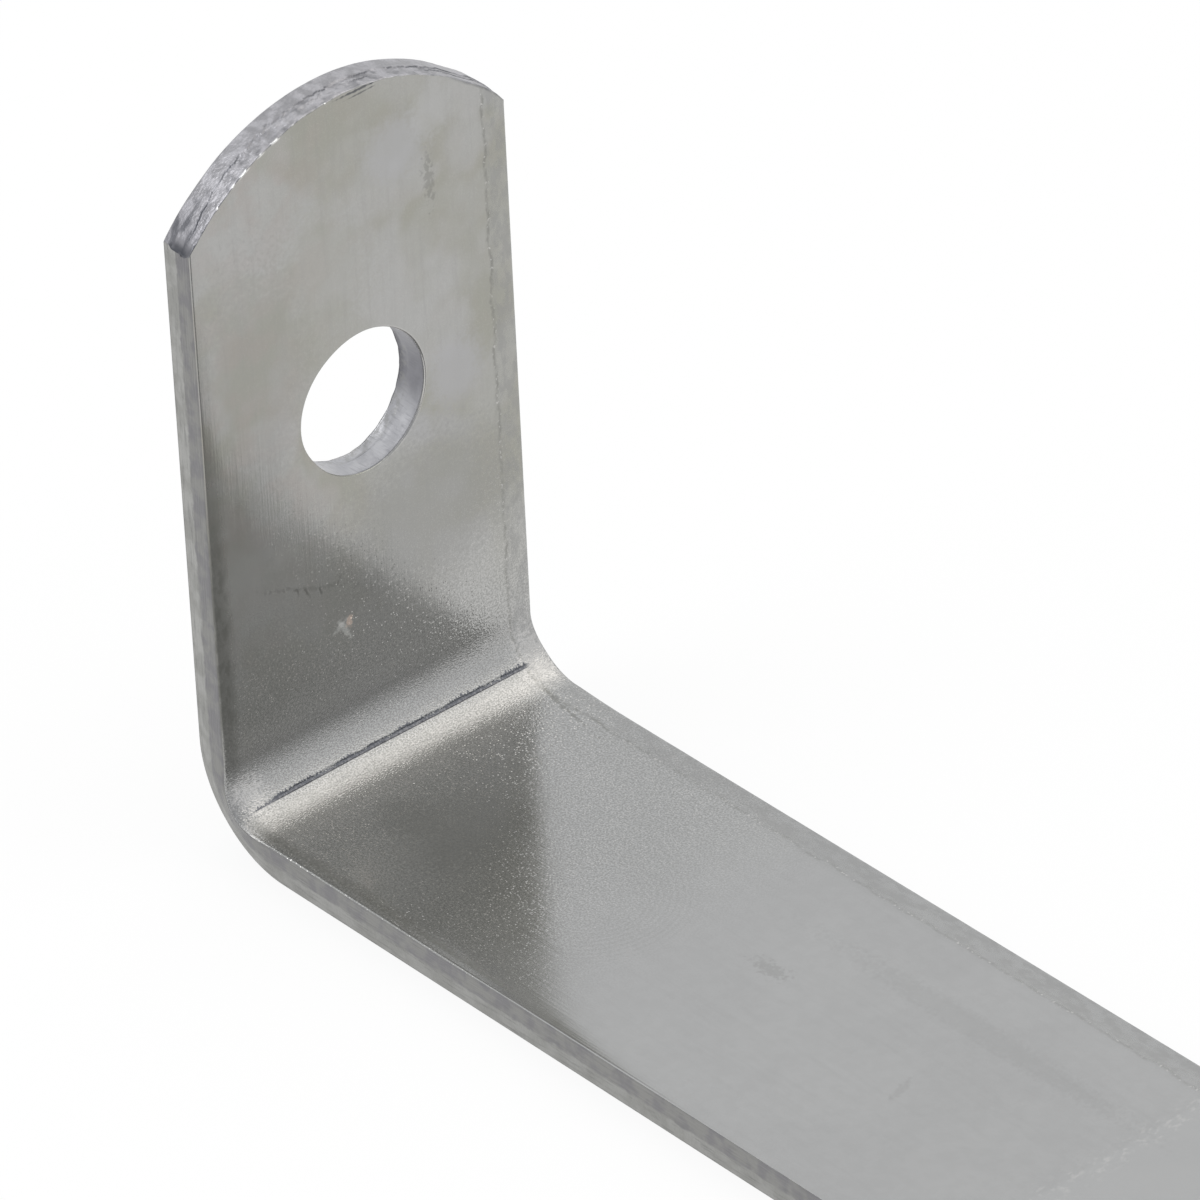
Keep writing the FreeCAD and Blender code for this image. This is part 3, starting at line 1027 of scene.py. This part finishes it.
streaks = spots(tree, place, (0.10, 1.6), 1.0, 4.0, 0.7)
streak_share = span(tree, s_value, -14.0, -4.0, 0.06, 0.15)
streak_share = times(tree, span(tree, streaks, 0.45, 0.75), streak_share)
colour = blend(tree, streak_share, colour, STEEL_DARK)

# %% The line where the next cramp lay
# Beyond a line straight across the leg the skin is paler, and scuffed along the line.
CONTACT_S = -62.7
beyond = times(tree, span(tree, s_value, CONTACT_S, CONTACT_S - 0.5), span(tree, s_value, -80.0, -68.0))
colour = blend(tree, times(tree, beyond, 0.8), colour, STEEL_LIGHT)
beside_line = calc(tree, "ABSOLUTE", minus(tree, s_value, CONTACT_S - 0.5))
scuffs = span(tree, spots(tree, place, (1.4, 0.9), 1.5, 3.0, 0.65), 0.50, 0.72)
scuffs = times(tree, scuffs, span(tree, beside_line, 1.6, 0.2, 0.0, 0.35))
colour = blend(tree, times(tree, scuffs, inside_face), colour, SCRAPED)

# %% Rings left by wiping the leg
RING_CENTRE = (-21.7, -2.2, THICKNESS)
RING_SPACING = 0.42
from_centre = add(tree, "VectorMath", {0: place, 1: RING_CENTRE}, operation="DISTANCE").outputs["Value"]
ripple = calc(tree, "SINE", times(tree, from_centre, 2 * math.pi / RING_SPACING))
ring_share = times(tree, span(tree, from_centre, 8.0, 5.5), span(tree, from_centre, 1.5, 4.0))
ring_share = times(tree, ring_share, span(tree, ripple, -0.6, 1.0, 0.0, 0.14))
colour = blend(tree, ring_share, colour, STEEL_DARK)

# %% The polished band of the fold, with a painted highlight
wander = minus(tree, spots(tree, place, (1.0, 0.6), 1.0), 0.5)
band_s = plus(tree, s_value, times(tree, wander, 0.8))
rubbed_and_lit = times(tree, span(tree, band_s, -3.8, -2.4), span(tree, band_s, -0.5, -1.7))
swept = times(tree, span(tree, band_s, 2.6, 0.4), span(tree, band_s, -0.2, 0.1))
band = plus(tree, rubbed_and_lit, times(tree, swept, 0.15), clamp=True)
band = times(tree, band, inside_face)
silk = spots(tree, place, (5.0, 0.5), 1.0, 2.0, 0.6)
polish_and_sheen_share = times(tree, band, span(tree, silk, 0.35, 0.65, 0.30, 0.58))
# The band's pale colour is partly polish from the punch and partly a painted highlight.
colour = blend(tree, polish_and_sheen_share, colour, POLISH_AND_SHEEN)

# %% Paler skin on both sides of the fold
slanted_s = plus(tree, s_value, span(tree, y_value, -7.0, 6.0, 0.0, 8.0))
above_fold = times(tree, span(tree, slanted_s, 23.0, 16.0, 0.0, 0.55), span(tree, s_value, 3.5, 6.0))
below_fold = times(
    tree, span(tree, s_value, -27.0, -21.0, 0.0, 0.25), span(tree, s_value, -5.0, -14.0),
    span(tree, y_value, 1.0, -8.0),
)
pale_skin = times(tree, plus(tree, above_fold, below_fold), inside_face)
colour = blend(tree, pale_skin, colour, STEEL_PALE)

# %% The grain round the fold
grain = use_group(tree, grain_group, {"Place": place, "Size": 0.14})
near_fold = times(
    tree, span(tree, s_value, -32.0, -18.0, 0.06, 1.0), span(tree, s_value, 22.0, 6.0, 0.15, 0.8),
    inside_face,
)
# Painted shade: the grain's hollows are darker.
hollow_shade = times(
    tree, span(tree, grain["Height"], 0.58, 0.40, 0.0, 0.80), near_fold,
    span(tree, s_value, 6.0, 11.0, 1.0, 0.45),
)
colour = blend(tree, hollow_shade, colour, STEEL_DARK)
# Painted glints: the grain's sparkling facets are painted pale.
painted_glints = times(tree, grain["Sparkle"], near_fold, 0.50)
colour = blend(tree, painted_glints, colour, POLISH_AND_SHEEN)
glint_share = times(tree, near_fold, span(tree, s_value, -4.0, -12.0, 0.60, 0.22))
glint_share = times(tree, glint_share, span(tree, s_value, 8.0, 13.0, 1.0, 0.5))
glints = times(tree, grain["Sparkle"], glint_share)

# %% The broken crease beside the right edge
CREASE_Y = HALF - 1.9
CREASE_REACH = 0.22
wander = times(tree, minus(tree, spots(tree, place, (0.45, 0.0), 1.0, 3.0, 0.6), 0.5), 0.7)
gap = minus(tree, plus(tree, y_value, wander), CREASE_Y)
close = times(tree, span(tree, calc(tree, "ABSOLUTE", gap), CREASE_REACH, 0.0), inside_face)
dash = spots(tree, place, (0.7, 1.6), 1.3, 4.0, 0.75)
crease = times(
    tree, close, span(tree, dash, 0.38, 0.60, 0.25, 1.0), span(tree, s_value, -6.0, -18.0, 0.6, 0.3)
)
fleck = spots(tree, place, (1.7, 2.2), 2.0, 1.0)
flecks = times(tree, close, span(tree, fleck, 0.64, 0.72, 0.0, 0.5))

# %% Darker bands beside the slit edges, the left one painted shade
mottle = spots(tree, place, (0.7, 1.3), 1.0, 3.0, 0.60)
beside_crease = span(tree, y_value, HALF - 2.1, HALF - 1.5)
right_edge_band = times(tree, beside_crease, span(tree, mottle, 0.36, 0.64, 0.02, 0.42))
on_leg = span(tree, s_value, -6.0, -16.0, 0.0, 0.22)
right_edge_band = plus(tree, right_edge_band, times(tree, on_leg, span(tree, y_value, HALF - 2.6, HALF - 1.6)))
past_fold = span(tree, s_value, 0.0, -4.0)
# The left band is painted shade along the drawn-down edge, mottled.
up_left = times(tree, span(tree, s_value, 28.0, 17.0, 0.0, 0.9), span(tree, s_value, 1.0, 9.0))
along_left = times(tree, span(tree, s_value, -32.0, -22.0, 0.0, 0.55), past_fold)
uneven_y = plus(tree, y_value, times(tree, mottle, 0.6))
left_band_shade = times(
    tree, calc(tree, "MAXIMUM", up_left, along_left),
    span(tree, uneven_y, -HALF + 1.85, -HALF + 0.85), span(tree, mottle, 0.65, 0.40, 0.80, 1.05),
)
# Within a third of a millimetre of the left edge, on the leg, the painted shade is weaker.
arris_kept_clear = times(tree, span(tree, y_value, -HALF + 0.70, -HALF + 0.35), past_fold)
left_band_shade = times(tree, left_band_shade, span(tree, arris_kept_clear, 0.0, 1.0, 1.0, 0.4))
edge_bands = times(tree, plus(tree, right_edge_band, left_band_shade, clamp=True), inside_face)
for share, tint in ((right_edge_band, EDGE_GREY), (left_band_shade, CREASE), (crease, CREASE), (flecks, POLISH_AND_SHEEN)):
    colour = blend(tree, share, colour, tint)

# %% The rim of the hole
HOLE_FACE = (HOLE_S, 0.0, THICKNESS)
from_hole = add(tree, "VectorMath", {0: place, 1: HOLE_FACE}, operation="DISTANCE").outputs["Value"]
# Painted highlight: the face round the right side of the hole's rim is painted pale.
rim = span(tree, from_hole, HOLE_RADIUS + 0.2, HOLE_RADIUS, 0.0, 0.55)
rim = times(tree, rim, span(tree, y_value, 0.5, 3.0))
colour = blend(tree, rim, colour, POLISH_AND_SHEEN)

# %% Single marks from handling, and patches of painted shade and highlight
# Each is given by its place along and across the strip, half its length and width, its
# turn in degrees, how ragged it is, its strength and its colour.
MARKS_AND_PAINTED_LIGHT = [
    (38.3, 6.1, 2.4, 0.45, 4, 0.7, 0.45, CREASE),             # oil spot under the tip
    (41.4, 3.6, 3.2, 3.4, 0, 0.12, 0.60, STEEL_BLUE),         # pale stains beside it
    (43.0, 6.6, 2.6, 2.2, 0, 0.15, 0.45, STEEL_LIGHT),
    (24.0, 7.4, 3.4, 3.0, 0, 0.10, 0.70, STEEL_BLUE),         # pale stain right of the hole
    (20.8, 5.2, 1.5, 4.6, -25, 0.12, 0.45, STEEL_BLUE),
    (9.6, -2.5, 1.20, 0.30, 30, 0.30, 0.45, WHITE_CHIP_AND_HIGHLIGHT),      # chip with three arms
    (9.9, -2.8, 0.90, 0.26, -60, 0.30, 0.45, WHITE_CHIP_AND_HIGHLIGHT),
    (9.9, -2.1, 0.60, 0.36, -10, 0.30, 0.80, CHIPPED),
    (17.0, -7.6, 0.55, 0.09, 30, 0.2, 0.55, STEEL_LIGHT),     # short scratch
    (13.6, -4.8, 3.6, 0.20, -111, 1.2, 0.25, CREASE),         # row of dark ticks
    (13.9, -6.0, 0.5, 0.13, 20, 0.5, 0.55, CREASE),
    (13.6, -5.3, 0.6, 0.13, 25, 0.5, 0.60, CREASE),
    (13.2, -4.2, 0.4, 0.12, 20, 0.5, 0.55, CREASE),
    (13.1, -2.8, 0.5, 0.10, -30, 0.5, 0.50, CREASE),
    (14.8, 4.6, 8.0, 9.0, 0, 0.2, 0.50, STEEL_DARK),          # duller skin right of the middle
    (46.75, 1.0, 2.0, 0.12, -90, 0.3, 0.80, GRIME_AND_SHADE),           # scrapes under the tip's arris
    (46.45, 1.4, 1.4, 0.08, -88, 0.3, 0.60, GRIME_AND_SHADE),
    (-5.2, 10.35, 3.8, 0.16, -10, 0.9, 0.60, CREASE),         # dashes where the fold ends
    (1.0, -11.2, 2.6, 1.5, 0, 0.5, 0.50, POLISH_AND_SHEEN),           # painted highlights at the ends of the fold
    (0.2, 11.5, 3.4, 1.7, 0, 0.5, 0.40, POLISH_AND_SHEEN),
    (30.0, -8.5, 12.0, 6.0, 0, 0.3, 0.25, STEEL_DARK),        # duller left side
    (35.0, -3.0, 7.0, 6.0, 0, 0.3, 0.25, STEEL_WARM),         # warmer skin above the hole
    (-11.0, -2.5, 6.0, 7.0, 0, 0.25, 0.45, STEEL_DARK),       # the fold's shade on the leg
    (-7.7, -4.6, 3.0, 2.6, 0, 0.12, 0.35, STEEL_DARK),        # duller spot in the fold's shade
    (-35.2, 0.7, 1.9, 0.8, 0, 0.6, 0.35, STEEL_DARK),         # smudges on the leg
    (-48.5, 5.4, 18.0, 1.3, 0, 0.30, 0.16, STEEL_DARK),
    (-49.6, -2.0, 0.4, 1.5, 15, 0.4, 0.22, STEEL_DARK),
]
tear = spots(tree, place, (1.0, 1.0), 3.0, 4.0)
for along_s, across_y, length, width, turn, ragged, strength, tint in MARKS_AND_PAINTED_LIGHT:
    inputs = {"Place": place, "Along": along_s, "Across": across_y, "Length": length,
              "Width": width, "Turn": math.radians(turn), "Tear": tear, "Ragged": ragged}
    mark = times(tree, use_group(tree, smudge_group, inputs)["Mask"], inside_face, strength)
    colour = blend(tree, mark, colour, tint)

# %% The punch's line across the fold
# Its lower side is straight, where the nose pressed, and its upper side is toothed. Its dark
# blue-grey is painted shade in the groove, with paler strokes in it.
teeth = spots(tree, place, (0.8, 5.5), 1.0, 2.0, 0.6)
swell = spots(tree, place, (0.0, 0.45), 1.0, 1.0)
line_s = plus(tree, s_value, span(tree, y_value, -2.0, -11.0, 0.0, MARK_TILT))
top = plus(tree, times(tree, teeth, 0.95), times(tree, swell, 0.90))
taper = span(tree, y_value, -HALF + 3.4, -HALF + 0.6, MARK_S - 0.58, MARK_S - 0.95)
inside_line = minus(tree, plus(tree, top, taper), line_s)
line = times(
    tree, span(tree, line_s, MARK_S - 0.20, MARK_S - 0.12), span(tree, inside_line, -0.03, 0.04),
    span(tree, y_value, -HALF + 0.6, -HALF + 1.2), span(tree, y_value, HALF - 1.55, HALF - 1.9),
    inside_face, 0.9,
)
strokes = plus(tree, span(tree, inside_line, 0.22, 0.06), span(tree, teeth, 0.62, 0.45), clamp=True)
groove_shade_colour = blend(tree, strokes, MARK_PALE, GROOVE_SHADE_BLUE)
colour = blend(tree, line, colour, groove_shade_colour)

# %% Painted shade, dirt and painted highlight at the tip, roughness and relief
colour = shade_dirt_and_shine(tree, colour)
lines = fine_lines(tree, place, 0.22, 9.0)
smoother = span(tree, s_value, -4.0, -12.0, 0.0, -0.05)
rough = plus(tree, span(tree, light_cloud, 0.0, 1.0, 0.18, 0.22), smoother)
rough = plus(tree, rough, times(tree, edge_bands, 0.3))
rough = plus(tree, rough, times(tree, band, 0.12))
in_fold = span(tree, calc(tree, "ABSOLUTE", s_value), 8.0, 4.0, 0.08, 2.4)
grain_height = times(tree, grain["Height"], in_fold, inside_face)
relief = plus(tree, times(tree, lines, 0.30), grain_height)
bump = bumped(tree, relief, 0.012)
tilt = add(tree, "VectorMath", {0: grain["Tilt"], "Scale": glints}, operation="SCALE").outputs[0]
tilted = add(tree, "VectorMath", {0: bump, 1: tilt}, operation="ADD").outputs[0]
tilted = add(tree, "VectorMath", {0: tilted}, operation="NORMALIZE").outputs[0]
finish_metal(tree, shader, colour, rough, tilted)

# %% [markdown]
# ## Slit, sheared and punched metal
# The cut surfaces share their grammar: a smooth band with lines along the tool's travel,
# and a dull broken band. On the slit edges the lines run along the strip; on the tip and in
# the hole they run through its thickness. So one group draws the lines and each finish turns
# the address that it gets.

# %% Slit edges
tree, shader, _, parts = new_metal("slit_edge")
swapped = add(tree, "CombineXYZ", {0: parts[0], 1: parts[2], 2: parts[1]}).outputs[0]
drag = fine_lines(tree, swapped, 0.12, 2.5)
ragged = minus(tree, spots(tree, swapped, (0.8, 0.8), 1.0, 3.0), 0.5)
depth = plus(tree, parts[2], times(tree, ragged, 0.5))
burnished = span(tree, depth, BREAK_HEIGHT - 0.10, BREAK_HEIGHT + 0.10)
violet = stain(tree, swapped, 1.3, 9.0)
smooth_colour = blend(tree, violet, (0.258, 0.257, 0.249), (0.212, 0.209, 0.217))
# Painted shade: the inside half of each slit edge is darker towards the tip.
tip_shade = span(tree, parts[0], 38.0, 43.0, 0.0, 0.4)
smooth_colour = blend(tree, tip_shade, smooth_colour, (0.180, 0.176, 0.190))
pale = stain(tree, swapped, 1.8)
broken_colour = blend(tree, pale, (0.325, 0.325, 0.312), (0.400, 0.400, 0.388))
broken_colour = blend(tree, span(tree, parts[0], 4.0, -6.0, 0.0, 0.35), broken_colour, (0.260, 0.260, 0.250))
colour = blend(tree, burnished, broken_colour, smooth_colour)
streaks = spots(tree, swapped, (0.35, 5.0), 1.0, 4.0, 0.65)
colour = blend(tree, span(tree, streaks, 0.50, 0.72, 0.0, 0.55), colour, (0.190, 0.190, 0.186))
colour = blend(tree, span(tree, drag, 0.55, 0.8, 0.0, 0.35), colour, STEEL_DARK)
under_line = span(tree, parts[2], 0.22, 0.04, 0.0, 0.5)
colour = blend(tree, under_line, colour, (0.17, 0.17, 0.165))
rough = span(tree, burnished, 0.0, 1.0, 0.42, 0.28)
grit = use_group(tree, grain_group, {"Place": swapped, "Size": 0.22})["Height"]
grit = times(tree, grit, span(tree, burnished, 0.0, 1.0, 1.6, 0.3))
relief = plus(tree, times(tree, drag, burnished), grit)
finish_metal(tree, shader, colour, rough, bumped(tree, relief, 0.022))

# %% Sheared ends
tree, shader, _, parts = new_metal("sheared_end")
turned = add(tree, "CombineXYZ", {0: parts[2], 1: parts[1], 2: parts[0]}).outputs[0]
drag = fine_lines(tree, turned, 0.13, 1.1)
patch = stain(tree, turned, 0.9, 5.0)
colour = blend(tree, patch, (0.335, 0.331, 0.346), (0.450, 0.445, 0.468))
flakes = spots(tree, turned, (2.2, 2.2), 1.6, 4.0, 0.75)
colour = blend(tree, span(tree, flakes, 0.48, 0.66, 0.0, 0.22), colour, (0.250, 0.246, 0.258))
left_end = span(tree, parts[1], -9.0, -11.8, 0.0, 0.35)
colour = blend(tree, left_end, colour, (0.215, 0.212, 0.232))
colour = blend(tree, span(tree, drag, 0.52, 0.75, 0.0, 0.15), colour, (0.24, 0.24, 0.26))
colour = shade_dirt_and_shine(tree, colour)
rough = span(tree, patch, 0.0, 1.0, 0.36, 0.46)
grit = use_group(tree, grain_group, {"Place": turned, "Size": 0.20})["Height"]
relief = plus(tree, times(tree, drag, 0.35), grit)
finish_metal(tree, shader, colour, rough, bumped(tree, relief, 0.030))

# %% The hole's wall
tree, shader, _, parts = new_metal("punched_wall")
around = calc(tree, "ARCTAN2", minus(tree, parts[0], HOLE_S), parts[1])
around = times(tree, around, HOLE_RADIUS)
turned = add(tree, "CombineXYZ", {0: parts[2], 1: around}).outputs[0]
drag = fine_lines(tree, turned, 0.16, 1.4)
patch = stain(tree, turned, 1.6, 5.0)
# Painted light and shade: the lower side of the wall is painted lit and the rest shaded, darker still
# towards the outside face.
lit_low_side = span(tree, parts[0], HOLE_S - 0.7, HOLE_S - 3.5)
shaded_wall = blend(tree, patch, (0.200, 0.200, 0.217), (0.240, 0.240, 0.259))
shaded_wall = blend(tree, span(tree, parts[2], 0.6, 0.2), shaded_wall, (0.150, 0.150, 0.165))
lit_wall = blend(tree, patch, (0.400, 0.400, 0.418), (0.490, 0.490, 0.508))
colour = blend(tree, lit_low_side, shaded_wall, lit_wall)
colour = blend(tree, span(tree, drag, 0.52, 0.75, 0.0, 0.35), colour, (0.24, 0.24, 0.26))
broken = span(tree, parts[2], 1.05, 0.75)
torn = span(tree, spots(tree, turned, (2.0, 2.0), 1.0, 4.0, 0.7), 0.44, 0.62, 0.0, 0.5)
colour = blend(tree, times(tree, broken, torn), colour, STEEL_DARK)
rough = span(tree, patch, 0.0, 1.0, 0.28, 0.36)
finish_metal(tree, shader, colour, rough, bumped(tree, drag, 0.018))

# %% Dress the strip
for name in FINISHES:
    cramp.data.materials.append(bpy.data.materials[name])
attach(cramp, "root")
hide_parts("frame_cramp")
print("finishes:", [material.name for material in cramp.data.materials])

# %% [markdown]
# ## A white room
# Metal shows what is round it, so the room is part of the finish. The photograph was taken
# in a white tent: nearly even light from everywhere, a little brighter from above and
# behind, a little darker on the camera's side. The sky is a gradient of direction, and one
# large lamp gives the floor its soft shadow.


# %% Sky
def towards(tree, direction, wanted, start, finish):
    """1 where direction points along wanted, within the cosine finish, and 0 past start."""
    unit = tuple(Vector(wanted).normalized())
    cosine = add(tree, "VectorMath", {0: direction, 1: unit}, operation="DOT_PRODUCT").outputs["Value"]
    return span(tree, cosine, start, finish)


world = bpy.data.worlds.new("white_room")
scene.world = world
world.use_nodes = True
tree = world.node_tree
direction = add(tree, "TexCoord").outputs["Generated"]
overhead = towards(tree, direction, (0.05, 0.50, 0.86), 0.78, 0.96)
colour = blend(tree, overhead, (0.93, 0.94, 0.95), (1.72, 1.69, 1.63))
front = towards(tree, direction, (0.64, -0.53, 0.56), 0.55, 0.95)
colour = blend(tree, front, colour, (0.55, 0.56, 0.58))
tree.links.new(colour, tree.nodes["Background"].inputs["Color"])
scene.view_settings.view_transform = "Standard"

# %% Lamp
LAMP_SIDE = 0.5                    # metres
LAMP_POWER = 2.0                   # watts
LAMP_PLACE = (-0.30, -0.55, 0.80)
lamp_data = bpy.data.lights.new("soft_box", "AREA")
lamp_data.shape = "SQUARE"
lamp_data.size = LAMP_SIDE
lamp_data.energy = LAMP_POWER
lamp = bpy.data.objects.new("soft_box", lamp_data)
lamp_place = Vector(LAMP_PLACE)
from_aim = lamp_place - Vector((BACK_X + 30.0, 0.0, 10.0)) * MM
lamp.matrix_world = Matrix.Translation(lamp_place) @ from_aim.to_track_quat("Z", "Y").to_matrix().to_4x4()
scene.collection.objects.link(lamp)

# %% Floor
REACH = 3.0
FLOOR_Z = -0.00002
WHITE_SHARE = 0.88                 # how much of the floor that is seen shines by itself
PAPER = (0.88, 0.88, 0.88, 1.0)
floor_corners = [(-REACH, -REACH), (REACH, -REACH), (REACH, REACH), (-REACH, REACH)]
floor_mesh = bpy.data.meshes.new("pale_floor")
floor_mesh.from_pydata([(x, y, FLOOR_Z) for x, y in floor_corners], [], [(0, 1, 2, 3)])
floor = bpy.data.objects.new("pale_floor", floor_mesh)
scene.collection.objects.link(floor)

paper = bpy.data.materials.new("white_paper")
paper.use_nodes = True
tree = paper.node_tree
tree.nodes.remove(tree.nodes["Principled BSDF"])
lit = add(tree, "BsdfDiffuse", {"Color": PAPER}).outputs[0]
even = add(tree, "Emission", {"Color": (1.0, 1.0, 1.0, 1.0), "Strength": 1.0}).outputs[0]
path = add(tree, "LightPath").outputs
seen = calc(tree, "MAXIMUM", path["Is Camera Ray"], path["Is Glossy Ray"])
seen = calc(tree, "MAXIMUM", seen, path["Is Transmission Ray"])
mixed = add(tree, "MixShader", {0: times(tree, seen, WHITE_SHARE), 1: lit, 2: even}).outputs[0]
tree.links.new(mixed, tree.nodes["Material Output"].inputs["Surface"])
floor_mesh.materials.append(paper)
